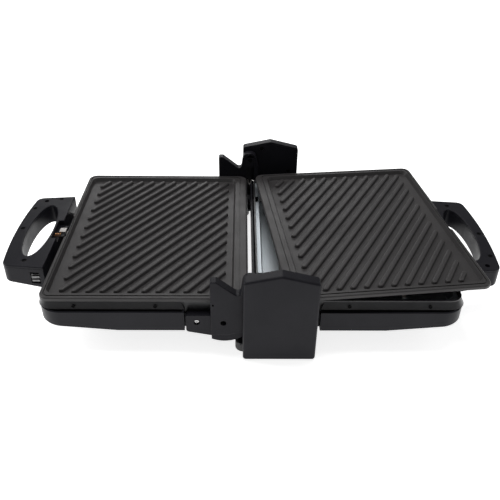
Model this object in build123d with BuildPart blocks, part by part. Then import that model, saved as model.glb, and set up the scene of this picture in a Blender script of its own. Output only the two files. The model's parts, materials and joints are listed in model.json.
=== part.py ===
from build123d import *
from math import atan2, cos, degrees, pi, radians, sin, sqrt, tan
import os

os.makedirs("parts", exist_ok=True)

# The grill lies opened flat: X runs from the lid (-) to the base (+), Z is up from the table, and the
# hinge plane is X = 0. Each half is drawn on the base side, and the lid's copy is turned half round Z.

# Clearances
seat_gap = 0.3
slide_gap = 0.3
screw_gap = 0.05
pin_gap = 0.05
pin_snug = 0.02
head_gap = 0.3
head_sink = 0.2
cut_past = 1.0

# Grill plate
plate_long = 250.0
plate_wide = 317.0
plate_corner = 12.0
plate_to_hinge = 6.0
rim_top = 73.0
rim_tall = 5.0
rim_handle_wide = 6.5
rim_side_wide = 9.5
rim_hinge_wide = 17.0
rim_groove_wide = 1.8
rim_groove_deep = 1.6
rim_groove_inset = 4.2
rim_groove_hinge_inset = 9.0
rim_round = 2.0
pocket_corner = 10.0
pocket_draft = 25.0
cooking_deep = 5.5
slab_thick = 4.0
slab_inset = 5.8
slab_corner = 16.0
skirt_deep = 6.0
skirt_wall = 3.0
skirt_hinge_inset = 7.5
skirt_handle_inset = 13.5
skirt_side_inset = 12.7
skirt_corner = 15.5
rim_notch_half = 26.0
rim_notch_deep = 3.5
hook_to_side = 58.5
hook_half = 6.0
hook_room = 2.0
hook_overlap = 1.0

# Ribs of the cooking face
rib_pitch = 13.85
rib_wide = 7.6
rib_tall = 4.0
rib_draft = 16.0
rib_round = 1.8
rib_angle = 54.7
rib_shortest = 12.0
ribs_to_hinge = 28.5
ribs_to_handle = 22.0
ribs_to_side = 16.0
rib_phase = -5.1

# The base's plate lies loose, lifted over its rim and turned
loose_yaw = 6.5
loose_shift_x = 18.0
loose_shift_y = -1.5
loose_gap = 0.3

# Chassis ring of each half
chassis_bottom = 42.0
chassis_wall = 2.2
chassis_corner = 16.0
chassis_hinge_corner = 5.0
chassis_proud_hinge = 0.9
chassis_inset_handle = 0.5
chassis_inset_side = 3.0
flare_low = 57.6
flare_high = 66.0
flare_out = 4.5
flare_past_handle = 3.8
flare_corner = 19.0
ledge_wide = 3.5
ledge_drop = 6.0
ledge_thick = 2.7
window_room = 1.0
foot_flange_wide = 9.0
foot_flange_thick = 2.0

# Reflector tray
sheet = 0.8
tray_floor = 46.0
tray_draft = 8.0
tray_corner = 18.0
tray_in_ledge = 1.0

# Heating tube
heater_radius = 3.25
heater_level = 53.0
heater_bend = 15.0
heater_drop_bend = 8.0
heater_drop = 17.0
heater_inset_hinge = 34.0
heater_inset_handle = 34.0
heater_inset_side = 41.0
heater_lead_half = 25.0
heater_inner_half = 45.0
heater_inner_x = 90.0
heater_hole_room = 1.0
heater_clip_from_mid = -1.0
heater_clip_to_end = 31.5
clip_gap = 0.1
clip_wall = 0.8
clip_long = 5.0
clip_ear = 4.5

# Cover of each half
cover_bottom = 30.0
cover_top = 57.0
cover_narrow_top = 50.0
cover_wall = 2.5
cover_side_gap = 10.8
cover_end_gap = 3.0
cover_corner = 28.0
cover_to_hinge = 5.4
cover_step_x = 82.0
cover_narrow_gap = 3.0
cover_step_round = 2.0
hinge_fence_x = 0.5
hinge_fence_top = 64.0
rise_start_to_end = 95.5
rise_end_to_end = 24.5
rise_tall = 6.7
rise_last = 9.4
belly_bottom = 14.0
belly_join = 38.0
belly_hinge_x = 34.0
belly_to_end = 30.5
belly_to_chassis_side = 23.5
belly_slope = 24.0
belly_corner = 24.0
boss_radius = 4.6
boss_head = 3.6
boss_shoulder = 2.0
boss_to_hinge = 25.7
boss_from_mid = 1.1
boss_to_handle = 29.5

# Screws
screw_radius = 1.6
screw_head = 3.1
screw_head_tall = 1.6
screw_slot = 0.9
screw_cross = 3.4
screw_cross_deep = 1.0

# Rivets on the long walls of the chassis
rivet_to_hinge = 110.6
rivet_to_handle = 42.0
rivet_z = 61.5
rivet_radius = 1.4
rivet_head = 2.2
rivet_head_tall = 0.7

# Feet
foot_radius = 10.0
foot_tall = 9.7
foot_socket_deep = 2.0
foot_ring = 2.0
foot_to_belly_end = 40.0
foot_to_belly_side = 40.0

# Handles
handle_to_plate = 12.0
handle_long = 53.5
handle_bow = 6.5
handle_half_inner = 93.5
handle_half_outer = 88.0
handle_y = -3.2
handle_corner = 11.0
handle_top = 68.0
face_thick = 3.0
seam = 0.5
grip_bottom_inner = 35.3
grip_bottom_outer = 43.6
neck_low = 38.0
neck_high = 47.0
neck_half = 82.0
finger_in = 27.0
finger_half_x = 17.0
finger_half_y = 66.0
face_round = 1.2
recess_radius = 3.5
recess_deep = 2.2
blind_recess_deep = 9.0
handle_screw_long = 8.0
face_screws_in = [(18.4, -88.3), (50.0, -59.6), (52.0, -4.3), (28.0, 73.5)]
face_blind_in = (38.8, -82.0)

# Plate release latch at each handle
latch_half = 14.0
latch_bay_half = 22.6
latch_gap = 0.6
latch_low = 60.8
latch_high = 64.6
latch_to_plate = 3.5
latch_long = 5.5
latch_bay_deep = 7.0
tongue_half = 5.0
tongue_low = 60.5
tongue_thick = 1.5
tongue_reach = 2.2
tab_setback = 0.2
tab_long = 8.7
tab_lift = 0.4
coil_wire = 0.45
coil_radius = 2.3
coil_turns = 4
coil_y = 4.9
coil_z = 63.6

# Hinge towers
tower_to_arm = 1.7
tower_deep = 14.5
tower_wall = 2.5
tower_left = -11.6
tower_right = 76.2
tower_low = 0.8
tower_left_shoulder = 116.5
tower_right_shoulder = 115.0
tower_peak = 126.0
tower_peak_x = 32.0
tower_corner = 4.0
tower_face_round = 2.8
tower_inner_wall = 3.0
tower_fit = 0.25
tower_screws = ((18.0, 114.5), (62.0, 75.0), (40.0, 20.0))
tower_screw_long = 7.0
tower_boss_floor = 1.0
tower_boss = 4.2

# Hinge pin, and the block that it carries in the slot of the lid's arm
pivot_z = 100.0
pin_radius = 3.5
pin_past_tower = 7.5
float_travel = 50.0
block_half = 5.7
block_low = 88.0
block_high = 104.5
block_corner = 3.0
block_flange = 2.5
block_flange_thick = 1.1
pin_clip_wide = 2.6
pin_clip_thick = 1.0
slot_top = 109.0

# Lid hinge arms
arm_to_cover = 0.5
arm_thick = 11.8
arm_left = -50.0
arm_low = 26.0
arm_horn_z = 105.5
arm_horn_wide = 7.0
arm_saddle_z = 87.0
arm_saddle_x = -20.0
arm_right = 13.0
arm_right_low = 30.5
lobe_left = -14.5
lobe_top = 111.5
lobe_top_left = -11.0
lobe_top_right = 7.5
lobe_shoulder = 86.0
lip_left = -49.5
lip_right = -11.5
lip_side = 18.5
lip_right_side = 22.5
lip_overlap = 2.0
lip_middle = 15.2
lip_set_in = 2.5
pad_left = -80.0
pad_set_in = 2.8
pad_top = 54.0
pad_low = 23.5
pad_rise = 6.5
pad_screw = (-67.0, 43.5)
arm_screw = (-34.8, 45.0)
arm_peep = (-46.8, 72.0)
arm_rounding = 1.2
arm_seat_deep = 4.0
arm_seat_left = 4.0
arm_peep_radius = 1.4
arm_peep_deep = 5.0
head_room = 0.6

# Tower mount
mount_base_low = 11.0
mount_base_high = 14.0
mount_left = -17.0
mount_right = 72.0
mount_block_left = 16.0
mount_block_high = 42.0
mount_under_cover = 6.5
tower_foot_x = -11.0
tower_foot_set_in = 10.1
tower_foot_radius = 9.8
tower_foot_rear_x = 50.0
mount_screws = ((26.0, 36.0), (60.0, 36.0))
mount_seat = 5.0
mount_screw_long = 7.0

# Cord inlet
inlet_x = 110.0
inlet_z = 45.0
inlet_bore = 3.75
inlet_body = 6.0
inlet_flange = 8.5
inlet_flange_thick = 2.5
inlet_inside = 0.5

# Lid lock slider
lock_in = 12.0
lock_half_x = 6.0
lock_low = 42.3
lock_tall = 12.4
lock_travel = 4.5
lock_thick = 1.5
lock_deep = 5.0
lock_ridge_tall = 3.0
lock_ridge_proud = 2.6
lock_ridge_low = 3.7
lock_ridge_high = 9.3
lock_ridge_inset = 1.0

# Wire clip by the hinge
wire_radius = 0.6
wire_bend = 1.2
wire_to_side = 6.5
wire_tip_x = -3.8
wire_elbow_x = -1.6
wire_before_wall = 3.2
wire_tip_drop = 0.3
wire_elbow_drop = 1.0
wire_tip_along = 7.0
wire_elbow_along = -15.0
wire_rise_along = 5.0

# Electrical parts under the reflector
thermostat_from_mid = 19.0
thermostat_radius = 8.5
thermostat_tall = 9.0
bracket_long = 34.0
bracket_wide = 11.0
bracket_thick = 1.0
tab_apart = 8.0
push_tab_wide = 6.3
push_tab_tall = 7.0
fuse_from_mid = 45.0
fuse_y = 62.0
fuse_radius = 2.2
fuse_half = 7.0
fuse_lead_radius = 0.6
fuse_lead = 9.0
terminal_x = 90.0
terminal_y = 60.0
terminal_long = 36.0
terminal_wide = 18.0
terminal_tall = 13.0
terminal_pitch = 11.0
terminal_well = 3.2

# Places worked out from the sizes above
plate_x0 = plate_to_hinge
plate_x1 = plate_x0 + plate_long
plate_mid = (plate_x0 + plate_x1) / 2
plate_half = plate_wide / 2
rim_bottom = rim_top - rim_tall
floor_top = rim_top - cooking_deep
slab_bottom = floor_top - slab_thick
skirt_bottom = slab_bottom - skirt_deep
skirt_x0 = plate_x0 + skirt_hinge_inset
skirt_x1 = plate_x1 - skirt_handle_inset
skirt_half = plate_half - skirt_side_inset
chassis_top = rim_bottom - seat_gap
chassis_x0 = plate_x0 - chassis_proud_hinge
chassis_x1 = plate_x1 - chassis_inset_handle
chassis_half = plate_half - chassis_inset_side
ledge_top = chassis_top - ledge_drop
tray_top = ledge_top + seat_gap + sheet
cover_x1 = chassis_x1 + cover_end_gap
cover_half = chassis_half + cover_side_gap
cover_narrow_half = chassis_half + cover_narrow_gap
boss_y = chassis_half - chassis_wall - foot_flange_wide / 2
chassis_mid = (chassis_x0 + chassis_x1) / 2
boss_places_x = (chassis_x0 + boss_to_hinge, chassis_mid + boss_from_mid, chassis_x1 - boss_to_handle)
rivet_places = ((plate_x0 + rivet_to_hinge, rivet_z), (plate_x1 - rivet_to_handle, rivet_z))
rise_start = cover_x1 - rise_start_to_end
rise_end = cover_x1 - rise_end_to_end
belly_handle_x = cover_x1 - belly_to_end
belly_half = chassis_half - belly_to_chassis_side
foot_x = belly_handle_x - foot_to_belly_end
foot_half = belly_half - foot_to_belly_side
heater_x0 = chassis_x0 + heater_inset_hinge
heater_x1 = chassis_x1 - heater_inset_handle
heater_half = chassis_half - heater_inset_side
heater_clip_x = (plate_mid + heater_clip_from_mid, heater_x1 - heater_clip_to_end)
thermostat_x = plate_mid + thermostat_from_mid
fuse_x = plate_mid + fuse_from_mid
handle_inner = plate_x1 + handle_to_plate
handle_outer = handle_inner + handle_long
finger_x = handle_inner + finger_in
face_screws = [(handle_inner + x, y) for x, y in face_screws_in]
face_blind = (handle_inner + face_blind_in[0], face_blind_in[1])
latch_from = plate_x1 + latch_to_plate
tab_from = latch_from + tab_setback
tab_to = tab_from + tab_long
lock_x = handle_inner + lock_in
arm_inner = cover_narrow_half + arm_to_cover
arm_outer = arm_inner + arm_thick
pad_outer = arm_outer - pad_set_in
tower_inner = arm_outer + tower_to_arm
pin_end = tower_inner + pin_past_tower
mount_base_inner = cover_narrow_half - mount_under_cover
tower_foot_y = tower_inner - tower_foot_set_in
tongue_tip = skirt_x1 - tongue_reach
hook_y = plate_half - hook_to_side


def plan_outline(z, x0, x1, half_y, hinge_corner, handle_corner):
    """Plan outline at height z, with its own corner radius at the hinge end and at the handle end."""
    with BuildSketch(Plane.XY.offset(z)) as outline:
        with Locations(((x0 + x1) / 2, 0)):
            Rectangle(x1 - x0, 2 * half_y)
        fillet(outline.vertices().group_by(Axis.X)[0], hinge_corner)
        fillet(outline.vertices().group_by(Axis.X)[-1], handle_corner)
    return outline.sketch


def side_outline(y, points, rounds):
    """Outline in a plane of constant Y through (x, z) points, with a fillet radius for each point."""
    with BuildSketch(Plane(origin=(0, y, 0), x_dir=(1, 0, 0), z_dir=(0, -1, 0))) as outline:
        with BuildLine():
            FilletPolyline(*points, radius=rounds, close=True)
        make_face()
    return outline.sketch


def slab(outline, thick):
    """Outline pushed out along +Y by thick, where the outline faces -Y."""
    return extrude(outline, amount=-thick, mode=Mode.PRIVATE)


def screw(length):
    """Pan-head screw pointing down -Z from its head's seat at the origin."""
    with BuildPart() as body:
        with BuildSketch():
            Circle(screw_head)
        extrude(amount=screw_head_tall)
        fillet(body.faces().sort_by(Axis.Z)[-1].edges(), screw_head_tall / 2)
        with BuildSketch():
            Circle(screw_radius)
        extrude(amount=-length)
        with BuildSketch(Plane.XY.offset(screw_head_tall)):
            Rectangle(screw_cross, screw_slot)
            Rectangle(screw_slot, screw_cross)
        extrude(amount=-screw_cross_deep, mode=Mode.SUBTRACT)
    return body.part


# Grill plate with slanted ribs, in its seat on the base
with BuildPart() as plate:
    rim_outline = plan_outline(rim_bottom, plate_x0, plate_x1, plate_half, plate_corner, plate_corner)
    extrude(rim_outline, amount=rim_tall)
    slab_outline = plan_outline(
        slab_bottom,
        plate_x0 + slab_inset,
        plate_x1 - slab_inset,
        plate_half - slab_inset,
        pocket_corner,
        slab_corner,
    )
    extrude(slab_outline, amount=rim_bottom - slab_bottom)
    fillet(plate.faces().sort_by(Axis.Z)[-1].edges(), rim_round)
    pocket = plan_outline(
        rim_top,
        plate_x0 + rim_hinge_wide,
        plate_x1 - rim_handle_wide,
        plate_half - rim_side_wide,
        pocket_corner,
        pocket_corner,
    )
    extrude(pocket, amount=-cooking_deep, taper=pocket_draft, mode=Mode.SUBTRACT)
    groove_outer = plan_outline(
        rim_top,
        plate_x0 + rim_groove_hinge_inset,
        plate_x1 - rim_groove_inset,
        plate_half - rim_groove_inset,
        plate_corner - rim_groove_inset,
        plate_corner - rim_groove_inset,
    )
    with BuildSketch(Plane.XY.offset(rim_top)):
        add(groove_outer)
        offset(groove_outer, amount=-rim_groove_wide, mode=Mode.SUBTRACT)
    extrude(amount=-rim_groove_deep, mode=Mode.SUBTRACT)
    # Ribs, each cut off by the edge of the ribbed field
    field_x0 = plate_x0 + ribs_to_hinge
    field_x1 = plate_x1 - ribs_to_handle
    field_half = plate_half - ribs_to_side
    rib_slope = tan(radians(rib_angle))
    rib_step_y = rib_pitch / cos(radians(rib_angle))
    rib_reach = int((2 * field_half + (field_x1 - field_x0) * rib_slope) / rib_step_y)
    with BuildSketch(Plane.XY.offset(floor_top)):
        for step in range(-rib_reach, rib_reach + 1):
            crossing_y = rib_phase + step * rib_step_y
            low_x = max(field_x0, plate_mid + (-field_half - crossing_y) / rib_slope)
            high_x = min(field_x1, plate_mid + (field_half - crossing_y) / rib_slope)
            rib_long = (high_x - low_x) / cos(radians(rib_angle))
            if rib_long > rib_shortest:
                rib_x = (low_x + high_x) / 2
                with Locations((rib_x, crossing_y + (rib_x - plate_mid) * rib_slope)):
                    SlotOverall(rib_long, rib_wide, rotation=rib_angle)
    extrude(amount=rib_tall, taper=rib_draft)
    fillet(plate.edges().filter_by_position(Axis.Z, floor_top + rib_tall, floor_top + rib_tall), rib_round)
    # Skirt that drops into the chassis
    skirt_outline = plan_outline(skirt_bottom, skirt_x0, skirt_x1, skirt_half, skirt_corner, skirt_corner)
    with BuildSketch(Plane.XY.offset(skirt_bottom)):
        add(skirt_outline)
        offset(skirt_outline, amount=-skirt_wall, mode=Mode.SUBTRACT)
    extrude(amount=skirt_deep)
    # Slot for the latch tongue
    with BuildSketch(Plane.XY.offset(tongue_low - latch_gap)):
        with Locations((skirt_x1, handle_y)):
            Rectangle(4 * skirt_wall, 2 * (tongue_half + latch_gap))
    extrude(amount=tongue_thick + 2 * latch_gap, mode=Mode.SUBTRACT)
    # Hooks that reach through the hinge wall of the chassis
    with BuildSketch(Plane.XY.offset(tray_top - seat_gap - sheet)):
        hook_x = (skirt_x0 + chassis_x0) / 2 + hook_overlap
        with Locations((hook_x, hook_y), (hook_x, -hook_y)):
            Rectangle(skirt_x0 - chassis_x0, 2 * hook_half)
    extrude(amount=-ledge_thick + seat_gap)
    # Shallow notch in the rim above the latch
    with BuildSketch(Plane.XY.offset(rim_bottom)):
        with BuildLine():
            Polyline(
                (plate_x1 + cut_past, handle_y - rim_notch_half - rim_notch_deep),
                (plate_x1 - rim_notch_deep, handle_y - rim_notch_half),
                (plate_x1 - rim_notch_deep, handle_y + rim_notch_half),
                (plate_x1 + cut_past, handle_y + rim_notch_half + rim_notch_deep),
                close=True,
            )
        make_face()
    extrude(amount=rim_tall, mode=Mode.SUBTRACT)

loose_centre = (plate_mid + loose_shift_x, loose_shift_y)
loose_lift = handle_top + loose_gap - skirt_bottom
with BuildPart() as base_plate:
    lifted = Pos(loose_centre[0], loose_centre[1], loose_lift) * Rot(0, 0, loose_yaw)
    add(lifted * Pos(-plate_mid, 0, 0) * plate.part)
base_plate.part.label = "base_plate"
export_step(base_plate.part, "parts/base_plate.step")

with BuildPart() as lid_plate:
    add(plate.part, rotation=(0, 0, 180))
lid_plate.part.label = "lid_plate"
export_step(lid_plate.part, "parts/lid_plate.step")


def chassis_outline(z, inset):
    """Chassis outline at height z, drawn in by inset."""
    return plan_outline(
        z,
        chassis_x0 + inset,
        chassis_x1 - inset,
        chassis_half - inset,
        max(chassis_hinge_corner - inset, 1.0),
        max(chassis_corner - inset, 1.0),
    )


# Chassis ring with its ledge for the reflector and its flange for the cover's screws
flare_slope = flare_out / (flare_high - flare_low)
flare_draft = degrees(atan2(flare_out, flare_high - flare_low))
window_tall = ledge_thick + 2 * window_room
window_half = tongue_half + hook_room
hook_window_half = hook_half + hook_room
window_reach = 4 * foot_flange_wide
chassis_screw_places = [(x, side * boss_y) for x in boss_places_x for side in (-1, 1)]
with BuildPart() as chassis:
    extrude(chassis_outline(chassis_bottom, 0), amount=chassis_top - chassis_bottom)
    # Flared lip round the wide part, above the cover
    flare_outline = plan_outline(
        flare_low, cover_step_x, chassis_x1 + flare_past_handle, chassis_half + flare_out, 1.0, flare_corner
    )
    extrude(flare_outline, amount=flare_high - flare_low, taper=flare_draft)
    flange_opening = chassis_outline(chassis_bottom, chassis_wall + foot_flange_wide)
    extrude(flange_opening, amount=chassis_top - chassis_bottom, mode=Mode.SUBTRACT)
    above_flange = chassis_bottom + foot_flange_thick
    ledge_bottom = ledge_top - ledge_thick
    wall_inside = chassis_outline(above_flange, chassis_wall)
    extrude(wall_inside, amount=ledge_bottom - above_flange, mode=Mode.SUBTRACT)
    ledge_opening = chassis_outline(ledge_bottom, chassis_wall + ledge_wide)
    extrude(ledge_opening, amount=ledge_thick, mode=Mode.SUBTRACT)
    extrude(chassis_outline(ledge_top, chassis_wall), amount=chassis_top - ledge_top, mode=Mode.SUBTRACT)
    # Windows for the latch tongue and for the plate's hooks
    with BuildSketch(Plane.XY.offset(ledge_bottom - seat_gap)):
        with Locations((chassis_x1, handle_y)):
            Rectangle(window_reach, 2 * window_half)
        with Locations((chassis_x0, hook_y), (chassis_x0, -hook_y)):
            Rectangle(window_reach, 2 * hook_window_half)
    extrude(amount=window_tall, mode=Mode.SUBTRACT)
    with BuildSketch(Plane.XY.offset(chassis_bottom)):
        with Locations(chassis_screw_places):
            Circle(screw_radius + screw_gap)
    extrude(amount=foot_flange_thick, mode=Mode.SUBTRACT)
    # Holes for the rivets in both long walls
    for x, z in rivet_places:
        with Locations(Plane(origin=(x, 0, z), z_dir=(0, 1, 0))):
            Cylinder(rivet_radius + screw_gap, 2 * (chassis_half + flare_out + cut_past), mode=Mode.SUBTRACT)


def tray_bucket(inset, floor_z):
    """Solid that fills the reflector tray, drawn in by inset, from its rim down to floor_z."""
    lean = (tray_top - tray_floor) * tan(radians(tray_draft))
    outer = chassis_wall + ledge_wide + tray_in_ledge + inset
    with BuildPart() as bucket:
        for z, draw_in in ((tray_top, 0), (floor_z, lean)):
            with BuildSketch(Plane.XY.offset(z)):
                with Locations(((chassis_x0 + chassis_x1) / 2, 0)):
                    RectangleRounded(
                        chassis_x1 - chassis_x0 - 2 * (outer + draw_in),
                        2 * (chassis_half - outer - draw_in),
                        tray_corner - inset,
                    )
        loft()
    return bucket.part


# Reflector tray that hangs in the chassis under the heating tube
terminal_hole = heater_radius + heater_hole_room
with BuildPart() as reflector:
    extrude(chassis_outline(tray_top - sheet, chassis_wall + seat_gap), amount=sheet)
    add(tray_bucket(0, tray_floor))
    add(tray_bucket(sheet, tray_floor + sheet), mode=Mode.SUBTRACT)
    with BuildSketch(Plane.XY.offset(ledge_bottom - seat_gap)):
        with Locations((chassis_x1, handle_y)):
            Rectangle(window_reach, 2 * window_half)
        with Locations((chassis_x0, hook_y), (chassis_x0, -hook_y)):
            Rectangle(window_reach, 2 * hook_window_half)
    extrude(amount=window_tall, mode=Mode.SUBTRACT)
    with BuildSketch(Plane.XY.offset(tray_floor)):
        with Locations((heater_x0, heater_lead_half), (heater_x0, -heater_lead_half)):
            Circle(terminal_hole)
    extrude(amount=sheet, mode=Mode.SUBTRACT)

# Heating tube: one loop in the plane of the tray, with both ends turned down through its floor
heater_route = [
    (heater_x0, -heater_lead_half, heater_level - heater_drop),
    (heater_x0, -heater_lead_half, heater_level),
    (heater_x0, -heater_half, heater_level),
    (heater_x1, -heater_half, heater_level),
    (heater_x1, -heater_inner_half, heater_level),
    (heater_inner_x, -heater_inner_half, heater_level),
    (heater_inner_x, heater_inner_half, heater_level),
    (heater_x1, heater_inner_half, heater_level),
    (heater_x1, heater_half, heater_level),
    (heater_x0, heater_half, heater_level),
    (heater_x0, heater_lead_half, heater_level),
    (heater_x0, heater_lead_half, heater_level - heater_drop),
]
with BuildPart() as heater:
    with BuildLine():
        FilletPolyline(*heater_route, radius=[heater_drop_bend] + [heater_bend] * 8 + [heater_drop_bend])
    with BuildSketch(Plane(origin=heater_route[0], z_dir=(0, 0, 1))):
        Circle(heater_radius)
    sweep()

# Saddle clips that hold the heating tube down on the tray's floor
clip_inner = heater_radius + clip_gap
clip_outer = clip_inner + clip_wall
clip_foot = tray_floor + sheet
with BuildPart() as heater_clips:
    for x, side in [(x, side) for x in heater_clip_x for side in (-1, 1)]:
        for row in (heater_half, heater_inner_half):
            clip_plane = Plane(origin=(x, side * row, heater_level), x_dir=(0, 1, 0), z_dir=(1, 0, 0))
            drop = heater_level - clip_foot
            with BuildSketch(clip_plane):
                Circle(clip_outer)
                with Locations((0, -drop / 2)):
                    Rectangle(2 * clip_outer, drop)
                with Locations((0, clip_wall / 2 - drop)):
                    Rectangle(2 * (clip_outer + clip_ear), clip_wall)
                Circle(clip_inner, mode=Mode.SUBTRACT)
                with Locations((0, -drop / 2)):
                    Rectangle(2 * clip_inner, drop, mode=Mode.SUBTRACT)
            extrude(amount=clip_long)


def cover_block(inset, floor_z):
    """Outer form of a half's cover, drawn in by inset, with its flat floor at floor_z."""
    deeper = floor_z - cover_bottom
    with BuildPart() as block:
        with BuildSketch(Plane.XY.offset(floor_z)) as plan:
            with BuildLine():
                Polyline(
                    (cover_to_hinge + inset, cover_narrow_half - inset),
                    (cover_step_x + inset, cover_narrow_half - inset),
                    (cover_step_x + inset, cover_half - inset),
                    (cover_x1 - inset, cover_half - inset),
                    (cover_x1 - inset, -cover_half + inset),
                    (cover_step_x + inset, -cover_half + inset),
                    (cover_step_x + inset, -cover_narrow_half + inset),
                    (cover_to_hinge + inset, -cover_narrow_half + inset),
                    close=True,
                )
            make_face()
            fillet(plan.vertices().group_by(Axis.X)[-1], cover_corner - inset)
            fillet(plan.vertices().group_by(Axis.X)[0], cover_step_round)
        extrude(amount=cover_top - floor_z)
        # The floor rises towards the handle
        with BuildSketch(Plane.XZ):
            with BuildLine():
                Polyline(
                    (rise_start, floor_z),
                    (rise_end, floor_z + rise_tall),
                    (cover_x1, floor_z + rise_last),
                    (cover_x1 + cut_past, floor_z + rise_last),
                    (cover_x1 + cut_past, floor_z - cut_past),
                    (rise_start, floor_z - cut_past),
                    close=True,
                )
            make_face()
        extrude(amount=cover_half + cut_past, both=True, mode=Mode.SUBTRACT)
        belly_x = (belly_hinge_x + belly_handle_x) / 2
        for z, draw_in in ((belly_join, inset), (belly_bottom + deeper, belly_slope + inset)):
            with BuildSketch(Plane.XY.offset(z)):
                with Locations((belly_x, 0)):
                    RectangleRounded(
                        belly_handle_x - belly_hinge_x - 2 * draw_in,
                        2 * (belly_half - draw_in),
                        belly_corner - inset,
                    )
        loft()
    return block.part


# Cover of one half with its screw bosses and foot sockets
cover_outer = cover_block(0, cover_bottom)
boss_top = chassis_bottom - seat_gap
with BuildPart() as bosses:
    with BuildSketch(Plane.XY.offset(cover_bottom)):
        with Locations(chassis_screw_places):
            Circle(boss_radius)
    extrude(amount=boss_top - cover_bottom)
    add(cover_outer, mode=Mode.INTERSECT)
foot_places = [(foot_x, side * foot_half) for side in (-1, 1)]
socket_top = foot_tall + seat_gap
socket_bottom = socket_top - foot_socket_deep
with BuildPart() as cover:
    add(cover_outer)
    add(cover_block(cover_wall, cover_bottom + cover_wall), mode=Mode.SUBTRACT)
    add(bosses.part)
    with BuildSketch(Plane.XY.offset(cover_bottom - cut_past)):
        with Locations(chassis_screw_places):
            Circle(boss_head)
    extrude(amount=boss_top - boss_shoulder - cover_bottom + cut_past, mode=Mode.SUBTRACT)
    with BuildSketch(Plane.XY.offset(cover_bottom)):
        with Locations(chassis_screw_places):
            Circle(screw_radius + screw_gap)
    extrude(amount=boss_top - cover_bottom, mode=Mode.SUBTRACT)
    with BuildSketch(Plane.XY.offset(socket_bottom)):
        with Locations(foot_places):
            Circle(foot_radius + foot_ring)
    extrude(amount=belly_bottom - socket_bottom)
    with BuildSketch(Plane.XY.offset(socket_bottom)):
        with Locations(foot_places):
            Circle(foot_radius + seat_gap)
    extrude(amount=foot_socket_deep, mode=Mode.SUBTRACT)
    # The narrow end by the hinge is cut lower, and its end wall stops under the chassis
    with BuildSketch(Plane.XY.offset(cover_narrow_top)):
        Rectangle(2 * cover_step_x, 2 * cover_half)
    extrude(amount=cover_top - cover_narrow_top, mode=Mode.SUBTRACT)
    with BuildSketch(Plane.XY.offset(boss_top)):
        Rectangle(2 * (cover_to_hinge + cover_wall + cut_past), 2 * (cover_narrow_half - cover_wall))
    extrude(amount=cover_top - boss_top, mode=Mode.SUBTRACT)


def side_hole(places, radius, y_from, y_to):
    """Pegs along Y at (x, z) places, for cutting holes through a side wall."""
    with BuildPart() as pegs:
        for x, z in places:
            with Locations(Plane(origin=(x, (y_from + y_to) / 2, z), z_dir=(0, 1, 0))):
                Cylinder(radius, abs(y_to - y_from))
    return pegs.part


side_cut_from = cover_narrow_half - cover_wall - cut_past
side_cut_to = cover_narrow_half + cut_past
with BuildPart() as base_cover:
    add(cover.part)
    for side in (-1, 1):
        pegs = side_hole(mount_screws, screw_radius + screw_gap, side * side_cut_from, side * side_cut_to)
        add(pegs, mode=Mode.SUBTRACT)
    inlet_hole = inlet_body + seat_gap / 2
    inlet_inner = cover_half - cover_wall - cut_past
    inlet_peg = side_hole(((inlet_x, inlet_z),), inlet_hole, inlet_inner, cover_half + cut_past)
    add(inlet_peg, mode=Mode.SUBTRACT)
    # Fence that stands along the hinge in front of the chassis
    with BuildSketch(Plane.XZ.offset(-cover_narrow_half)):
        with BuildLine():
            Polyline(
                (hinge_fence_x, cover_bottom),
                (cover_to_hinge + cover_wall, cover_bottom),
                (cover_to_hinge + cover_wall, cover_bottom + cover_wall),
                (hinge_fence_x + cover_wall, cover_bottom + cover_wall),
                (hinge_fence_x + cover_wall, hinge_fence_top),
                (hinge_fence_x, hinge_fence_top),
                close=True,
            )
        make_face()
    extrude(amount=2 * cover_narrow_half)
base_cover.part.label = "base_cover"
export_step(base_cover.part, "parts/base_cover.step")

with BuildPart() as lid_cover:
    add(cover.part, rotation=(0, 0, 180))
    for side in (-1, 1):
        pegs = side_hole(
            (pad_screw, arm_screw), screw_radius + screw_gap, side * side_cut_from, side * side_cut_to
        )
        add(pegs, mode=Mode.SUBTRACT)
lid_cover.part.label = "lid_cover"
export_step(lid_cover.part, "parts/lid_cover.step")

# Rubber bushing where the mains lead would enter the base
with BuildPart() as cord_inlet:
    with BuildSketch(Plane(origin=(inlet_x, cover_half, inlet_z), z_dir=(0, 1, 0))):
        Circle(inlet_flange)
    extrude(amount=inlet_flange_thick)
    with BuildSketch(Plane(origin=(inlet_x, cover_half, inlet_z), z_dir=(0, -1, 0))):
        Circle(inlet_body)
    extrude(amount=cover_wall + inlet_inside)
    fillet(cord_inlet.faces().sort_by(Axis.Y)[-1].edges(), 1.0)
    bore_from = cover_half - cover_wall - inlet_inside
    with BuildSketch(Plane(origin=(inlet_x, bore_from, inlet_z), z_dir=(0, 1, 0))):
        Circle(inlet_bore)
    extrude(amount=inlet_flange_thick + cover_wall + cut_past, mode=Mode.SUBTRACT)
cord_inlet.part.label = "cord_inlet"
export_step(cord_inlet.part, "parts/cord_inlet.step")

# Rubber feet
with BuildPart() as feet:
    with Locations([(x, y, 0) for x, y in foot_places]):
        Cylinder(foot_radius, foot_tall, align=(Align.CENTER, Align.CENTER, Align.MIN))
    fillet(feet.faces().group_by(Axis.Z)[0].edges(), 1.0)

# Screws from below into the chassis
with BuildPart() as cover_screws:
    for x, y in chassis_screw_places:
        shoulder = boss_top - boss_shoulder
        turned_over = Pos(x, y, shoulder - seat_gap / 2) * Rot(180, 0, 0) * screw(screw_head_tall)
        add(turned_over)
        with Locations((x, y, shoulder - seat_gap / 2)):
            Cylinder(
                screw_radius,
                boss_shoulder + foot_flange_thick + seat_gap,
                align=(Align.CENTER, Align.CENTER, Align.MIN),
            )

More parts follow.
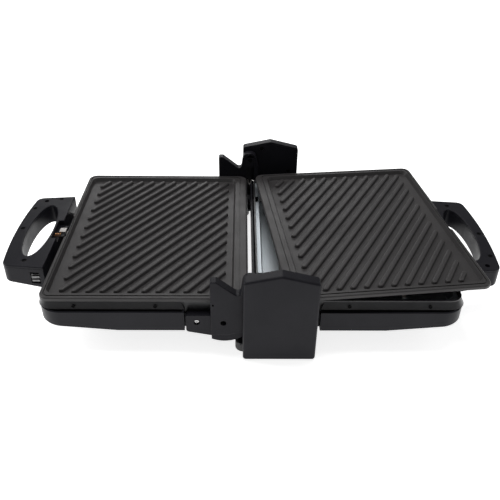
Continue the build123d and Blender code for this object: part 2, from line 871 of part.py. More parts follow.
# Rivets through the flared lip of the chassis
rivet_seat_y = chassis_half + flare_out - (rivet_z - rivet_head - flare_low) * flare_slope
with BuildPart() as rivets:
    for x, z in rivet_places:
        for side in (-1, 1):
            with BuildSketch(Plane(origin=(x, side * (chassis_half - chassis_wall), z), z_dir=(0, side, 0))):
                Circle(rivet_radius)
            extrude(amount=rivet_seat_y - chassis_half + chassis_wall)
            with BuildSketch(Plane(origin=(x, side * rivet_seat_y, z), z_dir=(0, side, 0))):
                Circle(rivet_head)
            extrude(amount=rivet_head_tall)


def handle_outline(z):
    """Plan of the handle at height z."""
    with BuildSketch(Plane.XY.offset(z)) as outline:
        with BuildLine():
            near_outer = (handle_outer, handle_y - handle_half_outer)
            near_inner = (handle_inner, handle_y - handle_half_inner)
            far_inner = (handle_inner, handle_y + handle_half_inner)
            far_outer = (handle_outer, handle_y + handle_half_outer)
            Polyline(near_outer, near_inner, far_inner, far_outer)
            ThreePointArc(far_outer, (handle_outer + handle_bow, handle_y), near_outer)
        make_face()
        fillet(outline.vertices().group_by(Axis.X)[-1], handle_corner)
    return outline.sketch


face_bottom = handle_top - face_thick
grip_top = face_bottom - seam
grip_low_end = grip_bottom_inner + (grip_bottom_outer - grip_bottom_inner) * (
    handle_outer + 2 * handle_bow - handle_inner
) / (handle_outer - handle_inner)
bay_x = handle_inner + latch_bay_deep
bay_bottom = latch_low - latch_gap
with BuildPart() as handle_grip:
    extrude(handle_outline(grip_bottom_inner), amount=grip_top - grip_bottom_inner)
    with BuildSketch(Plane.XZ):
        with BuildLine():
            Polyline(
                (handle_inner - cut_past, grip_bottom_inner),
                (handle_inner, grip_bottom_inner),
                (handle_outer + 2 * handle_bow, grip_low_end),
                (handle_outer + 2 * handle_bow, grip_bottom_inner - cut_past),
                (handle_inner - cut_past, grip_bottom_inner - cut_past),
                close=True,
            )
        make_face()
    extrude(amount=handle_half_inner - handle_y + cut_past, both=True, mode=Mode.SUBTRACT)
    with BuildSketch(Plane.XY.offset(grip_bottom_inner)):
        with Locations((finger_x, handle_y)):
            Ellipse(finger_half_x, finger_half_y)
    extrude(amount=grip_top - grip_bottom_inner, mode=Mode.SUBTRACT)
    # Neck that meets the end of the cover
    with BuildSketch(Plane.XY.offset(neck_low)):
        with Locations(((cover_x1 + handle_inner) / 2, 0)):
            Rectangle(handle_inner - cover_x1, 2 * neck_half)
    extrude(amount=neck_high - neck_low)
    # Bay for the latch
    with BuildSketch(Plane.XY.offset(bay_bottom)):
        with Locations(((handle_inner + bay_x) / 2, handle_y)):
            Rectangle(latch_bay_deep, 2 * latch_bay_half)
    extrude(amount=grip_top - bay_bottom, mode=Mode.SUBTRACT)
    with BuildSketch(Plane.XY.offset(grip_top)):
        with Locations(face_screws):
            Circle(screw_radius + screw_gap)
        with Locations(face_blind):
            Circle(recess_radius)
    extrude(amount=-blind_recess_deep, mode=Mode.SUBTRACT)

with BuildPart() as handle_face:
    extrude(handle_outline(face_bottom), amount=face_thick)
    with BuildSketch(Plane.XY.offset(face_bottom)):
        with Locations((finger_x, handle_y)):
            Ellipse(finger_half_x, finger_half_y)
        with Locations(((handle_inner + bay_x) / 2, handle_y)):
            Rectangle(latch_bay_deep, 2 * latch_bay_half)
    extrude(amount=face_thick, mode=Mode.SUBTRACT)
    fillet(handle_face.faces().sort_by(Axis.Z)[-1].edges(), face_round)
    with BuildSketch(Plane.XY.offset(handle_top)):
        with Locations(face_screws):
            Circle(recess_radius)
    extrude(amount=-recess_deep, mode=Mode.SUBTRACT)
    with BuildSketch(Plane.XY.offset(handle_top)):
        with Locations(face_screws):
            Circle(screw_radius + screw_gap)
        with Locations(face_blind):
            Circle(recess_radius)
    extrude(amount=-face_thick, mode=Mode.SUBTRACT)

with BuildPart() as handle_screws:
    for x, y in face_screws:
        add(Pos(x, y, handle_top - recess_deep) * screw(handle_screw_long))

# Plate release latch: a push button inside a steel tongue that is bent back over it
tongue_top = tongue_low + tongue_thick
riser_x = latch_from + latch_long + seat_gap
tab_low = latch_high + tab_lift
with BuildPart() as latch_button:
    with BuildSketch(Plane.XY.offset(latch_low)):
        with Locations((latch_from + latch_long / 2, handle_y)):
            RectangleRounded(latch_long, 2 * latch_half, 1.5)
    extrude(amount=latch_high - latch_low)
    fillet(latch_button.faces().sort_by(Axis.Z)[-1].edges(), 0.8)
    with BuildSketch(Plane.XY.offset(latch_low)):
        with Locations((latch_from + latch_long / 2, handle_y)):
            Rectangle(latch_long + cut_past, 2 * (tongue_half + screw_gap))
    extrude(amount=tongue_top + screw_gap - latch_low, mode=Mode.SUBTRACT)

with BuildPart() as latch_tongue:
    for x0, x1, z0, z1 in (
        (tongue_tip, riser_x + tongue_thick, tongue_low, tongue_top),
        (riser_x, riser_x + tongue_thick, tongue_low, tab_low + tongue_thick),
        (tab_from, tab_to, tab_low, tab_low + tongue_thick),
    ):
        with BuildSketch(Plane.XY.offset(z0)):
            with Locations(((x0 + x1) / 2, handle_y)):
                Rectangle(x1 - x0, 2 * tongue_half)
        extrude(amount=z1 - z0)
    fillet(latch_tongue.edges().filter_by(Axis.Z).group_by(Axis.X)[-1], 1.0)


def coil_points(turn, lead, radius, start):
    """Point and unit tangent of a helix along X after turn turns from x = start."""
    angle = 2 * pi * turn
    point = Vector(start + lead * turn, coil_y + radius * cos(angle), coil_z + radius * sin(angle))
    tangent = Vector(lead, -2 * pi * radius * sin(angle), 2 * pi * radius * cos(angle)).normalized()
    return point, tangent


spring_x0 = riser_x
spring_long = bay_x - seat_gap - spring_x0 - 2 * coil_wire
coil_lead = spring_long / coil_turns
quarters = 4 * coil_turns
with BuildPart() as latch_spring:
    with BuildLine() as coil:
        for quarter in range(quarters):
            start, start_way = coil_points(quarter / 4, coil_lead, coil_radius, spring_x0 + coil_wire)
            end, end_way = coil_points((quarter + 1) / 4, coil_lead, coil_radius, spring_x0 + coil_wire)
            chord = end - start
            both_ways = start_way + end_way
            spread = 2 * (1 - start_way.dot(end_way))
            along = chord.dot(both_ways)
            reach = (sqrt(along**2 + spread * chord.dot(chord)) - along) / spread
            middle = (start + start_way * reach + end - end_way * reach) * 0.5
            middle_way = (end - end_way * reach) - (start + start_way * reach)
            TangentArc(start, middle, tangent=start_way)
            TangentArc(middle, end, tangent=middle_way)
    first_point, first_way = coil_points(0, coil_lead, coil_radius, spring_x0 + coil_wire)
    with BuildSketch(Plane(origin=first_point, z_dir=first_way)):
        Circle(coil_wire)
    sweep()
per_turn = 24
samples = [coil_points(n / per_turn, coil_lead, coil_radius, 0)[0] for n in range(per_turn * coil_turns + 1)]
least = min((a - b).length for i, a in enumerate(samples) for b in samples[i + per_turn // 2 :])
print("latch spring least gap to itself", round(least - 2 * coil_wire, 2))

# Handle grips: the lid's one has a window in its near end for the lock slider
end_slope = (handle_half_inner - handle_half_outer) / (handle_outer - handle_inner)
lock_face_y = handle_y + handle_half_inner - (lock_x - handle_inner) * end_slope
lock_floor_y = lock_face_y - lock_deep
with BuildPart() as base_handle_grip:
    add(handle_grip.part)
base_handle_grip.part.label = "base_handle_grip"
export_step(base_handle_grip.part, "parts/base_handle_grip.step")

with BuildPart() as lid_handle_grip:
    add(handle_grip.part, rotation=(0, 0, 180))
    with BuildSketch(Plane.XZ.offset(lock_floor_y)):
        with Locations((-lock_x, lock_low + (lock_tall + lock_travel) / 2)):
            Rectangle(2 * (lock_half_x + slide_gap), lock_tall + lock_travel + 2 * slide_gap)
    extrude(amount=lock_deep + cut_past, mode=Mode.SUBTRACT)
lid_handle_grip.part.label = "lid_handle_grip"
export_step(lid_handle_grip.part, "parts/lid_handle_grip.step")

with BuildPart() as lock_slider:
    with BuildSketch(Plane.XZ.offset(lock_floor_y + slide_gap)):
        with Locations((-lock_x, lock_low + lock_tall / 2)):
            RectangleRounded(2 * lock_half_x, lock_tall, 1.0)
    extrude(amount=lock_thick)
    with BuildSketch(Plane.XZ.offset(lock_floor_y + slide_gap + lock_thick)):
        for ridge_z in (lock_low + lock_ridge_low, lock_low + lock_ridge_high):
            with Locations((-lock_x, ridge_z)):
                RectangleRounded(2 * (lock_half_x - lock_ridge_inset), lock_ridge_tall, 0.8)
    extrude(amount=lock_ridge_proud)
    fillet(lock_slider.faces().sort_by(Axis.Y)[0].edges(), 0.5)
lock_slider.part.label = "lock_slider"
export_step(lock_slider.part, "parts/lock_slider.step")

# Wire clip hooked over the hinge wall of the base's chassis
clip_hook_y = chassis_half - wire_to_side
clip_route = [
    (wire_tip_x, clip_hook_y + wire_tip_along, chassis_top - wire_tip_drop),
    (wire_elbow_x, clip_hook_y + wire_elbow_along, chassis_top - wire_elbow_drop),
    (chassis_x0 - wire_before_wall, clip_hook_y + wire_rise_along, chassis_top + wire_radius + seat_gap),
    (chassis_x0 + chassis_wall / 2, clip_hook_y, chassis_top + wire_radius + seat_gap),
]
with BuildPart() as wire_clip:
    with BuildLine() as clip_line:
        FilletPolyline(*clip_route, radius=[wire_bend, wire_bend])
    with BuildSketch(clip_line.line ^ 0):
        Circle(wire_radius)
    sweep()
wire_clip.part.label = "wire_clip"
export_step(wire_clip.part, "parts/wire_clip.step")

# Thermostat under the base's reflector
under_tray = tray_floor - seat_gap
with BuildPart() as thermostat:
    with Locations((thermostat_x, 0, under_tray)):
        Box(bracket_long, bracket_wide, bracket_thick, align=(Align.CENTER, Align.CENTER, Align.MAX))
        Cylinder(thermostat_radius, thermostat_tall, align=(Align.CENTER, Align.CENTER, Align.MAX))
    for side in (-1, 1):
        with Locations((thermostat_x + side * tab_apart / 2, 0, under_tray - thermostat_tall)):
            Box(sheet, push_tab_wide, push_tab_tall, align=(Align.CENTER, Align.CENTER, Align.MAX))
thermostat.part.label = "thermostat"
export_step(thermostat.part, "parts/thermostat.step")

# Thermal fuse with its two leads, one under each reflector
with BuildPart() as thermal_fuse:
    with Locations(Plane(origin=(fuse_x, fuse_y, under_tray - fuse_radius), z_dir=(0, 1, 0))):
        Cylinder(fuse_radius, 2 * fuse_half)
        Cylinder(fuse_lead_radius, 2 * (fuse_half + fuse_lead))

# Terminal block on the floor of the base
terminal_floor = belly_bottom + cover_wall + seat_gap
with BuildPart() as terminal_block:
    with Locations((terminal_x, terminal_y, terminal_floor)):
        Box(terminal_long, terminal_wide, terminal_tall, align=(Align.CENTER, Align.CENTER, Align.MIN))
    with BuildSketch(Plane.XY.offset(terminal_floor + terminal_tall)):
        with Locations((terminal_x, terminal_y)):
            with GridLocations(terminal_pitch, terminal_wide / 2, 3, 2):
                Circle(terminal_well)
    extrude(amount=-terminal_tall / 2, mode=Mode.SUBTRACT)
terminal_block.part.label = "terminal_block"
export_step(terminal_block.part, "parts/terminal_block.step")

# Parts that both halves share, turned half round for the lid
half_parts = {
    "chassis": chassis,
    "reflector": reflector,
    "heater": heater,
    "heater_clips": heater_clips,
    "feet": feet,
    "cover_screws": cover_screws,
    "rivets": rivets,
    "handle_face": handle_face,
    "handle_screws": handle_screws,
    "latch_button": latch_button,
    "latch_tongue": latch_tongue,
    "latch_spring": latch_spring,
    "thermal_fuse": thermal_fuse,
}
for half, turn in (("base", 0), ("lid", 180)):
    for part_name, source in half_parts.items():
        with BuildPart() as half_part:
            add(source.part, rotation=(0, 0, turn))
        half_part.part.label = f"{half}_{part_name}"
        export_step(half_part.part, f"parts/{half}_{part_name}.step")

# Hinge tower on the far side of the base
cover_back = tower_inner + tower_deep - tower_wall


def tower_outline(y, inset):
    """Tower outline at depth y, drawn in by inset."""
    fall_left = (tower_peak - tower_left_shoulder) / (tower_peak_x - tower_left)
    fall_right = (tower_peak - tower_right_shoulder) / (tower_right - tower_peak_x)
    points = [
        (tower_left + inset, tower_low + inset),
        (tower_right - inset, tower_low + inset),
        (tower_right - inset, tower_right_shoulder - inset + fall_right * inset),
        (tower_peak_x, tower_peak - inset),
        (tower_left + inset, tower_left_shoulder - inset + fall_left * inset),
    ]
    return side_outline(y, points, [max(tower_corner - inset, 0.8)] * 5)


with BuildPart() as tower_cover:
    add(slab(tower_outline(tower_inner, 0), tower_deep))
    fillet(tower_cover.faces().sort_by(Axis.Y)[-1].edges(), tower_face_round)
    add(slab(tower_outline(tower_inner, tower_wall), tower_deep - tower_wall), mode=Mode.SUBTRACT)
    wall_back = tower_inner + tower_inner_wall
    # Bosses for the screws of the inner wall
    for x, z in tower_screws:
        with BuildSketch(Plane.XZ.offset(-wall_back - seat_gap)):
            with Locations((x, z)):
                Circle(tower_boss)
        extrude(amount=-(cover_back - wall_back - seat_gap))
        with BuildSketch(Plane.XZ.offset(-wall_back - seat_gap)):
            with Locations((x, z)):
                Circle(screw_radius + screw_gap)
        extrude(amount=-(cover_back - wall_back - tower_boss_floor), mode=Mode.SUBTRACT)

head_recess = screw_head_tall + head_sink
with BuildPart() as tower_plate:
    add(slab(tower_outline(tower_inner, tower_wall + tower_fit), tower_inner_wall))
    with BuildSketch(Plane.XZ.offset(-tower_inner)):
        with Locations((0, pivot_z)):
            Circle(pin_radius + pin_gap)
        with Locations(tower_screws):
            Circle(screw_radius + screw_gap)
    extrude(amount=-tower_inner_wall, mode=Mode.SUBTRACT)
    with BuildSketch(Plane.XZ.offset(-tower_inner)):
        with Locations(tower_screws):
            Circle(screw_head + head_gap)
    extrude(amount=-head_recess, mode=Mode.SUBTRACT)

with BuildPart() as tower_screw_set:
    for x, z in tower_screws:
        add(Pos(x, tower_inner + head_recess, z) * Rot(90, 0, 0) * screw(tower_screw_long))

# Mount that joins the tower to the base and carries its feet
mount_outer = tower_inner - seat_gap
mount_inner = cover_narrow_half + seat_gap
tower_foot_places = [(tower_foot_x, tower_foot_y), (tower_foot_rear_x, tower_foot_y)]
with BuildPart() as tower_mount:
    with BuildSketch(Plane.XY.offset(mount_base_low)):
        with Locations(((mount_left + mount_right) / 2, (mount_base_inner + mount_outer) / 2)):
            RectangleRounded(mount_right - mount_left, mount_outer - mount_base_inner, 4.0)
    extrude(amount=mount_base_high - mount_base_low)
    with BuildSketch(Plane.XY.offset(mount_base_high)):
        with Locations(((mount_block_left + mount_right) / 2, (mount_inner + mount_outer) / 2)):
            RectangleRounded(mount_right - mount_block_left, mount_outer - mount_inner, 2.0)
    extrude(amount=mount_block_high - mount_base_high)
    for x, z in mount_screws:
        with BuildSketch(Plane.XZ.offset(-mount_outer)):
            with Locations((x, z)):
                Circle(screw_head + head_gap)
        extrude(amount=mount_outer - mount_inner - mount_seat, mode=Mode.SUBTRACT)
        with BuildSketch(Plane.XZ.offset(-mount_outer)):
            with Locations((x, z)):
                Circle(screw_radius + screw_gap)
        extrude(amount=mount_outer - mount_inner, mode=Mode.SUBTRACT)
    with BuildSketch(Plane.XY.offset(mount_base_low)):
        with Locations(tower_foot_places):
            Circle(tower_foot_radius + seat_gap)
    extrude(amount=foot_socket_deep, mode=Mode.SUBTRACT)

with BuildPart() as mount_screw_set:
    for x, z in mount_screws:
        add(Pos(x, mount_inner + mount_seat, z) * Rot(-90, 0, 0) * screw(mount_screw_long))

with BuildPart() as tower_foot:
    with Locations([(x, y, 0) for x, y in tower_foot_places]):
        Cylinder(
            tower_foot_radius,
            mount_base_low + foot_socket_deep - seat_gap,
            align=(Align.CENTER, Align.CENTER, Align.MIN),
        )
    fillet(tower_foot.faces().group_by(Axis.Z)[0].edges(), 1.5)

# Block that slides in the arm's slot, the pin it turns on and the clip on the pin's end
block_inner = arm_inner + slide_gap
block_outer = arm_outer + slide_gap
with BuildPart() as slide_block:
    with BuildSketch(Plane.XZ.offset(-block_inner)):
        with Locations((0, (block_low + block_high) / 2)):
            RectangleRounded(2 * block_half, block_high - block_low, block_corner)
    extrude(amount=-(block_outer - block_inner))
    with BuildSketch(Plane.XZ.offset(-block_outer)):
        with Locations((0, (block_low + block_high) / 2)):
            RectangleRounded(2 * (block_half + block_flange), block_high - block_low, block_corner)
    extrude(amount=-block_flange_thick)
    with BuildSketch(Plane.XZ.offset(-block_inner)):
        with Locations((0, pivot_z)):
            Circle(pin_radius + pin_snug)
    extrude(amount=-(block_outer + block_flange_thick - block_inner), mode=Mode.SUBTRACT)

with BuildPart() as hinge_pin:
    with BuildSketch(Plane.XZ.offset(-block_inner)):
        with Locations((0, pivot_z)):
            Circle(pin_radius)
    extrude(amount=-(pin_end - block_inner))

with BuildPart() as pin_clip:
    with BuildSketch(Plane.XZ.offset(-wall_back - seat_gap)):
        with Locations((0, pivot_z)):
            Circle(pin_radius + pin_clip_wide)
            Circle(pin_radius + pin_snug, mode=Mode.SUBTRACT)
    extrude(amount=-pin_clip_thick)

# Lid hinge arm on the far side
arm_points = [
    (arm_left, arm_low),
    (arm_left, arm_horn_z),
    (arm_left + arm_horn_wide, arm_horn_z),
    (arm_saddle_x, arm_saddle_z),
    (lobe_left, arm_saddle_z),
    (lobe_top_left, lobe_top),
    (lobe_top_right, lobe_top),
    (arm_right, lobe_shoulder),
    (arm_right, arm_right_low),
    (lip_right, arm_right_low),
    ((lip_left + lip_right) / 2, arm_low),
]
arm_rounds = [1.5, 2.0, 2.0, 4.0, 3.0, 8.5, 8.5, 6.0, 3.0, 8.0, 8.0]
pad_points = [
    (arm_left + 1.0, pad_low),
    (arm_left + 1.0, pad_top),
    (pad_left, pad_top),
    (pad_left, pad_low + pad_rise),
]
slot_half = block_half + slide_gap
slot_low = block_low - float_travel - slide_gap
with BuildPart() as hinge_arm:
    add(slab(side_outline(arm_inner, arm_points, arm_rounds), arm_outer - arm_inner))
    fillet(hinge_arm.faces().sort_by(Axis.Y)[-1].edges(), arm_rounding)
    pad_inner = cover_narrow_half + seat_gap
    add(slab(side_outline(pad_inner, pad_points, [0.8, 0.8, 2.0, 4.0]), pad_outer - pad_inner))
    # Curved lip under the arm
    lip_mid_x = (lip_left + lip_right) / 2
    with BuildSketch(Plane.XZ.offset(-arm_inner)):
        with BuildLine():
            Polyline(
                (lip_left, lip_side),
                (lip_left, arm_low + lip_overlap),
                (lip_mid_x, arm_low + lip_overlap),
                (lip_right - lip_overlap, arm_right_low + lip_overlap),
                (lip_right, arm_right_low + lip_overlap),
                (lip_right, lip_right_side),
            )
            ThreePointArc((lip_right, lip_right_side), (lip_mid_x, lip_middle), (lip_left, lip_side))
        make_face()
    extrude(amount=-(arm_outer - lip_set_in - arm_inner))
    # Slot for the sliding block
    with BuildSketch(Plane.XZ.offset(-arm_inner)):
        with Locations((0, (slot_low + slot_top) / 2)):
            SlotOverall(slot_top - slot_low, 2 * slot_half, rotation=90)
        with Locations((0, (slot_low + block_low) / 2)):
            Rectangle(2 * slot_half, block_low - slot_low)
    extrude(amount=-(arm_outer - arm_inner), mode=Mode.SUBTRACT)
    # Screw seats
    for (x, z), seat_y in ((pad_screw, pad_outer - arm_seat_deep), (arm_screw, arm_inner + arm_seat_left)):
        with BuildSketch(Plane.XZ.offset(-seat_y)):
            with Locations((x, z)):
                Circle(screw_head + head_room)
        extrude(amount=-arm_outer, mode=Mode.SUBTRACT)
        with BuildSketch(Plane.XZ.offset(-seat_y)):
            with Locations((x, z)):
                Circle(screw_radius + screw_gap)
        extrude(amount=seat_y - arm_inner + cut_past, mode=Mode.SUBTRACT)
    with BuildSketch(Plane.XZ.offset(-arm_outer)):
        with Locations(arm_peep):
            Circle(arm_peep_radius)
    extrude(amount=arm_peep_deep, mode=Mode.SUBTRACT)

with BuildPart() as arm_screw_set:
    for (x, z), seat_y in ((pad_screw, pad_outer - arm_seat_deep), (arm_screw, arm_inner + arm_seat_left)):
        add(Pos(x, seat_y, z) * Rot(-90, 0, 0) * screw(seat_y - cover_narrow_half + cover_wall - seat_gap))

# Parts that stand on both sides, mirrored for the near side
side_parts = {
    "tower_cover": tower_cover,
    "tower_plate": tower_plate,
    "tower_screws": tower_screw_set,
    "tower_mount": tower_mount,
    "mount_screws": mount_screw_set,
    "tower_feet": tower_foot,
    "slide_block": slide_block,
    "hinge_pin": hinge_pin,
    "pin_clip": pin_clip,
    "hinge_arm": hinge_arm,
    "arm_screws": arm_screw_set,
}
for part_name, source in side_parts.items():
    with BuildPart() as far_part:
        add(source.part)
    far_part.part.label = f"{part_name}_far"
    export_step(far_part.part, f"parts/{part_name}_far.step")
    with BuildPart() as near_part:
        mirror(source.part, about=Plane.XZ)
    near_part.part.label = f"{part_name}_near"
    export_step(near_part.part, f"parts/{part_name}_near.step")
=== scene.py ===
"""Looks of the opened contact grill: finishes, soft studio light and the camera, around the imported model."""
import json
import math

import bpy
from mathutils import Matrix, Vector


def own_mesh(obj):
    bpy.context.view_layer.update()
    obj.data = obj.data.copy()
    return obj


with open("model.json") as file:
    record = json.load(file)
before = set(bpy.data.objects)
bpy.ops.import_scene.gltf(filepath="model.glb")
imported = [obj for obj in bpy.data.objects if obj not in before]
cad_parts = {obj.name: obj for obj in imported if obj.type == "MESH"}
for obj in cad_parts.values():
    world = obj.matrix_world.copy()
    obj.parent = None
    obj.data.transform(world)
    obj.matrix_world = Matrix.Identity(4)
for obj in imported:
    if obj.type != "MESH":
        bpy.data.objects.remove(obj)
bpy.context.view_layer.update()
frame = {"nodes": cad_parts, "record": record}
nodes = frame["nodes"]

# Camera, fitted to the plates' edges in the photograph; angles in degrees, lengths in metres
CAMERA_LENS_MM = 44.56
SENSOR_MM = 36.0
CAMERA_DISTANCE = 0.8873
CAMERA_ELEVATION = 34.0
CAMERA_AZIMUTH = -1.0
CAMERA_ROLL = 0.8
CAMERA_TARGET = (-0.0013, 0.0, 0.0358)
CAMERA_NEAREST = 0.01

# Floor, and the even glow of floor and surround
FLOOR_REACH = 6.0
FLOOR_TONE = (0.92, 0.92, 0.92)
FLOOR_ROUGH = 0.9
FLOOR_GLOW = 0.78
SURROUND_GLOW = 0.2
WHITE = (1, 1, 1)

# Soft rectangular lights: name, place, aim and size in metres, power in watts
LIGHTS = (
    ("back_soft", (-0.2, 2.3, 1.3), (-0.05, 0, 0.05), (1.6, 0.8), 11),
    ("key_above", (0.0, 0.2, 1.8), (0, 0, 0), (1.2, 0.6), 15),
    ("front_soft", (0.0, -1.8, 1.5), (0, 0, 0.05), (1.8, 0.4), 2),
    ("left_soft", (-1.5, 0.3, 1.0), (0, 0, 0.05), (0.5, 1.0), 12),
    ("right_soft", (1.5, 0.3, 1.0), (0, 0, 0.05), (0.5, 1.0), 3),
)


class Finish:
    """A material in the making: its shader, and the nodes that vary it over the surface."""

    def __init__(self, name):
        self.material = bpy.data.materials.new(name)
        self.material.use_nodes = True
        self.tree = self.material.node_tree
        self.shader = self.tree.nodes["Principled BSDF"]

    def add(self, kind):
        """New node of the given kind."""
        return self.tree.nodes.new("ShaderNode" + kind)

    def link(self, value, socket):
        """Joins an output to an input."""
        self.tree.links.new(value, socket)

    def set(self, socket, value):
        """Sets one of the shader's own values."""
        self.shader.inputs[socket].default_value = value

    def drive(self, socket, value):
        """Lets an output drive one of the shader's values."""
        self.link(value, self.shader.inputs[socket])

    def noise(self, scale, detail=3.0, roughness=0.5, stretch=(1, 1, 1)):
        """Noise over the object's own coordinates; scale is in cycles per metre."""
        place = self.add("TexCoord")
        mapping = self.add("Mapping")
        mapping.inputs["Scale"].default_value = stretch
        noise = self.add("TexNoise")
        noise.inputs["Scale"].default_value = scale
        noise.inputs["Detail"].default_value = detail
        noise.inputs["Roughness"].default_value = roughness
        self.link(place.outputs["Object"], mapping.inputs["Vector"])
        self.link(mapping.outputs["Vector"], noise.inputs["Vector"])
        return noise.outputs["Fac"]

    def flecks(self, scale):
        """Distance to the nearest of many scattered points; scale is in points per metre."""
        place = self.add("TexCoord")
        cells = self.add("TexVoronoi")
        cells.inputs["Scale"].default_value = scale
        self.link(place.outputs["Object"], cells.inputs["Vector"])
        return cells.outputs["Distance"]

    def spread(self, value, low, high, from_low=0.3, from_high=0.7):
        """Maps a value, by default a noise, onto low..high."""
        remap = self.add("MapRange")
        remap.inputs["From Min"].default_value = from_low
        remap.inputs["From Max"].default_value = from_high
        remap.inputs["To Min"].default_value = low
        remap.inputs["To Max"].default_value = high
        self.link(value, remap.inputs["Value"])
        return remap.outputs["Result"]

    def product(self, first, second):
        """Product of two outputs."""
        multiply = self.add("Math")
        multiply.operation = "MULTIPLY"
        self.link(first, multiply.inputs[0])
        self.link(second, multiply.inputs[1])
        return multiply.outputs[0]

    def blend(self, factor, first, second):
        """Mixes two colours by factor; each may be a colour or an output."""
        mix = self.add("Mix")
        mix.data_type = "RGBA"
        self.link(factor, mix.inputs[0])
        for socket, colour in ((mix.inputs[6], first), (mix.inputs[7], second)):
            if isinstance(colour, tuple):
                socket.default_value = (*colour, 1.0)
            else:
                self.link(colour, socket)
        return mix.outputs[2]

    def mottle(self, noise, dark, light):
        """Colour that wanders between two tones with a noise."""
        return self.blend(self.spread(noise, 0.0, 1.0), dark, light)

    def bump(self, height, distance):
        """Bump of the given distance in metres."""
        bump = self.add("Bump")
        bump.inputs["Distance"].default_value = distance
        bump.inputs["Strength"].default_value = 1.0
        self.link(height, bump.inputs["Height"])
        self.drive("Normal", bump.outputs["Normal"])

    def edge_mask(self, radius, sharpness):
        """About 1 on edges that are sharper than radius, 0 on flats."""
        bevel = self.add("Bevel")
        bevel.samples = 4
        bevel.inputs["Radius"].default_value = radius
        geometry = self.add("NewGeometry")
        dot = self.add("VectorMath")
        dot.operation = "DOT_PRODUCT"
        self.link(bevel.outputs["Normal"], dot.inputs[0])
        self.link(geometry.outputs["True Normal"], dot.inputs[1])
        return self.spread(dot.outputs["Value"], 1.0, 0.0, from_low=1.0 - sharpness, from_high=1.0)


def moulded_plastic(name, dark, light, rough, grain_height, edge_tone, specular=0.14):
    """Satin moulded plastic: fine grain, faint flow clouds, rubbed edges."""
    finish = Finish(name)
    tone = finish.mottle(finish.noise(scale=22.0, detail=4.0), dark, light)
    worn = finish.edge_mask(radius=0.0009, sharpness=0.3)
    patches = finish.spread(finish.noise(scale=160.0), 0.15, 0.75)
    finish.drive("Base Color", finish.blend(finish.product(worn, patches), tone, edge_tone))
    smears = finish.noise(scale=60.0, detail=5.0)
    finish.drive("Roughness", finish.spread(smears, rough - 0.05, rough + 0.07))
    finish.bump(finish.noise(scale=1400.0, detail=2.0), grain_height)
    finish.set("Specular IOR Level", specular)
    return finish.material


def nonstick(name, dark, light, fleck_tone, edge_tone):
    """Charcoal non-stick coating on cast aluminium, with a fine orange peel and pale flecks."""
    finish = Finish(name)
    tone = finish.mottle(finish.noise(scale=14.0, detail=4.0), dark, light)
    fleck_mask = finish.spread(finish.flecks(scale=700.0), 1.0, 0.0, from_low=0.03, from_high=0.16)
    tone = finish.blend(fleck_mask, tone, fleck_tone)
    # Lighter coating on edges: rubbed wear, plus a painted highlight along the rim ridges and rib crests
    rubbed_wear_and_highlight = finish.edge_mask(radius=0.0012, sharpness=0.35)
    finish.drive("Base Color", finish.blend(rubbed_wear_and_highlight, tone, edge_tone))
    smears = finish.noise(scale=45.0, detail=5.0)
    finish.drive("Roughness", finish.spread(smears, 0.4, 0.52))
    finish.bump(finish.noise(scale=900.0), 0.00006)
    finish.set("Specular IOR Level", 0.4)
    return finish.material


def brushed_sheet(name, dark, light, rough, stretch):
    """Bright rolled sheet with fine drawn lines."""
    finish = Finish(name)
    finish.drive("Base Color", finish.mottle(finish.noise(scale=9.0), dark, light))
    lines = finish.noise(scale=260.0, roughness=0.6, stretch=stretch)
    finish.drive("Roughness", finish.spread(lines, rough - 0.06, rough + 0.08))
    finish.bump(lines, 0.00002)
    finish.set("Metallic", 1.0)
    return finish.material


def plated_metal(name, dark, light, rough, metallic=1.0):
    """Small plated metal parts with faint tarnish."""
    finish = Finish(name)
    finish.drive("Base Color", finish.mottle(finish.noise(scale=300.0, detail=4.0), dark, light))
    scratches = finish.noise(scale=900.0, detail=4.0, roughness=0.7, stretch=(1, 6, 1))
    finish.drive("Roughness", finish.spread(scratches, rough - 0.08, rough + 0.1))
    finish.bump(scratches, 0.00001)
    finish.set("Metallic", metallic)
    return finish.material


def rubber(name, dark, light):
    """Matt dark rubber with dust in its grain."""
    finish = Finish(name)
    dust = finish.noise(scale=180.0, detail=5.0)
    finish.drive("Base Color", finish.mottle(dust, dark, light))
    finish.drive("Roughness", finish.spread(dust, 0.68, 0.85))
    finish.bump(finish.noise(scale=1800.0, detail=2.0), 0.00004)
    return finish.material


def ceramic(name, dark, light):
    """Off-white unglazed ceramic."""
    finish = Finish(name)
    speckle = finish.noise(scale=900.0, detail=4.0)
    finish.drive("Base Color", finish.mottle(speckle, dark, light))
    finish.drive("Roughness", finish.spread(speckle, 0.5, 0.65))
    finish.bump(speckle, 0.00004)
    return finish.material


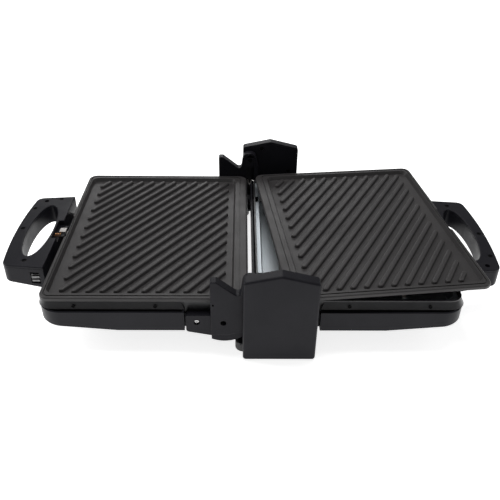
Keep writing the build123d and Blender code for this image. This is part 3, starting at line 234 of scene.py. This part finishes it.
# One finish for each material slot
finishes = {
    "housing_plastic": moulded_plastic(
        "housing",
        dark=(0.0085, 0.0083, 0.0112),
        light=(0.0125, 0.0122, 0.0156),
        rough=0.36,
        grain_height=0.00005,
        edge_tone=(0.04, 0.04, 0.043),
    ),
    # Chassis tones lighter than the housing's: painted light on the chassis wall, which sits in the shade
    # under the plate's rim
    "chassis_plastic": moulded_plastic(
        "chassis",
        dark=(0.013, 0.013, 0.0145),
        light=(0.018, 0.018, 0.0195),
        rough=0.34,
        grain_height=0.00004,
        edge_tone=(0.05, 0.05, 0.053),
        specular=0.6,
    ),
    "latch_plastic": moulded_plastic(
        "latch",
        dark=(0.012, 0.012, 0.013),
        light=(0.018, 0.018, 0.019),
        rough=0.45,
        grain_height=0.00005,
        edge_tone=(0.05, 0.05, 0.05),
    ),
    "plate_coating": nonstick(
        "nonstick",
        dark=(0.024, 0.022, 0.0225),
        light=(0.032, 0.0298, 0.0303),
        fleck_tone=(0.042, 0.04, 0.039),
        edge_tone=(0.055, 0.054, 0.053),
    ),
    "reflector": brushed_sheet(
        "aluminised_sheet", dark=(0.52, 0.57, 0.6), light=(0.6, 0.64, 0.67), rough=0.46, stretch=(1, 12, 12)
    ),
    "heater_tube": plated_metal(
        "heater_tube", dark=(0.08, 0.075, 0.07), light=(0.14, 0.13, 0.12), rough=0.5, metallic=0.8
    ),
    "steel": plated_metal("plated_steel", dark=(0.4, 0.385, 0.37), light=(0.54, 0.52, 0.5), rough=0.34),
    "fastener_steel": plated_metal("screw_steel", dark=(0.5, 0.5, 0.5), light=(0.7, 0.7, 0.7), rough=0.32),
    "blackened_steel": plated_metal(
        "black_screw_steel", dark=(0.006, 0.006, 0.0062), light=(0.014, 0.014, 0.0145), rough=0.5
    ),
    "dull_steel": plated_metal("dull_plating", dark=(0.12, 0.12, 0.12), light=(0.2, 0.2, 0.2), rough=0.35),
    "spring_copper": plated_metal("copper_wire", dark=(0.62, 0.3, 0.13), light=(0.72, 0.4, 0.2), rough=0.3),
    "rubber": rubber("foot_rubber", dark=(0.05, 0.05, 0.052), light=(0.085, 0.084, 0.082)),
    "ceramic": ceramic("terminal_ceramic", dark=(0.62, 0.58, 0.5), light=(0.78, 0.75, 0.68)),
}
slot_of = {entry["node"]: entry["material_slot"] for entry in frame["record"]["subparts"]}
for name, node in nodes.items():
    for material_slot in node.material_slots:
        material_slot.material = finishes[slot_of[name]]

# Latch springs each get a mesh of their own
for half, outward in (("base", 1), ("lid", -1)):
    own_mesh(nodes[f"{half}_latch_spring"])


def place_camera():
    """Camera at the photograph's viewing angle."""
    elevation, azimuth, roll = (math.radians(a) for a in (CAMERA_ELEVATION, CAMERA_AZIMUTH, CAMERA_ROLL))
    back = Vector(
        (
            math.sin(azimuth) * math.cos(elevation),
            -math.cos(azimuth) * math.cos(elevation),
            math.sin(elevation),
        )
    )
    right = Vector((math.cos(azimuth), math.sin(azimuth), 0))
    up = back.cross(right)
    right_rolled = right * math.cos(roll) + up * math.sin(roll)
    up_rolled = up * math.cos(roll) - right * math.sin(roll)
    turn = Matrix((right_rolled, up_rolled, back)).transposed().to_4x4()
    data = bpy.data.cameras.new("camera")
    data.lens = CAMERA_LENS_MM
    data.sensor_width = SENSOR_MM
    data.clip_start = CAMERA_NEAREST
    camera = bpy.data.objects.new("camera", data)
    camera.matrix_world = Matrix.Translation(Vector(CAMERA_TARGET) + back * CAMERA_DISTANCE) @ turn
    bpy.context.collection.objects.link(camera)
    bpy.context.scene.camera = camera


def area_light(name, location, target, size, power):
    """Soft rectangular light aimed at target; power in watts."""
    data = bpy.data.lights.new(name, "AREA")
    data.shape = "RECTANGLE"
    data.size, data.size_y = size
    data.energy = power
    lamp = bpy.data.objects.new(name, data)
    lamp.location = location
    lamp.rotation_euler = (Vector(target) - Vector(location)).to_track_quat("-Z", "Y").to_euler()
    bpy.context.collection.objects.link(lamp)


def pale_floor():
    """Flat pale floor that glows a little, so that shadows on it stay faint."""
    mesh = bpy.data.meshes.new("floor")
    corners = [(x, y, 0) for x, y in ((-1, -1), (1, -1), (1, 1), (-1, 1))]
    mesh.from_pydata([(FLOOR_REACH * x, FLOOR_REACH * y, z) for x, y, z in corners], [], [(0, 1, 2, 3)])
    floor = bpy.data.objects.new("floor", mesh)
    bpy.context.collection.objects.link(floor)
    paper = Finish("floor_paper")
    paper.set("Base Color", (*FLOOR_TONE, 1))
    paper.set("Roughness", FLOOR_ROUGH)
    paper.set("Emission Color", (*WHITE, 1))
    paper.set("Emission Strength", FLOOR_GLOW)
    mesh.materials.append(paper.material)


def even_surround():
    """White surround, and plain tones in the picture."""
    world = bpy.data.worlds.new("surround")
    world.use_nodes = True
    background = world.node_tree.nodes["Background"]
    background.inputs["Color"].default_value = (*WHITE, 1)
    background.inputs["Strength"].default_value = SURROUND_GLOW
    bpy.context.scene.world = world
    bpy.context.scene.view_settings.view_transform = "Standard"


place_camera()
pale_floor()
even_surround()
for light in LIGHTS:
    area_light(*light)
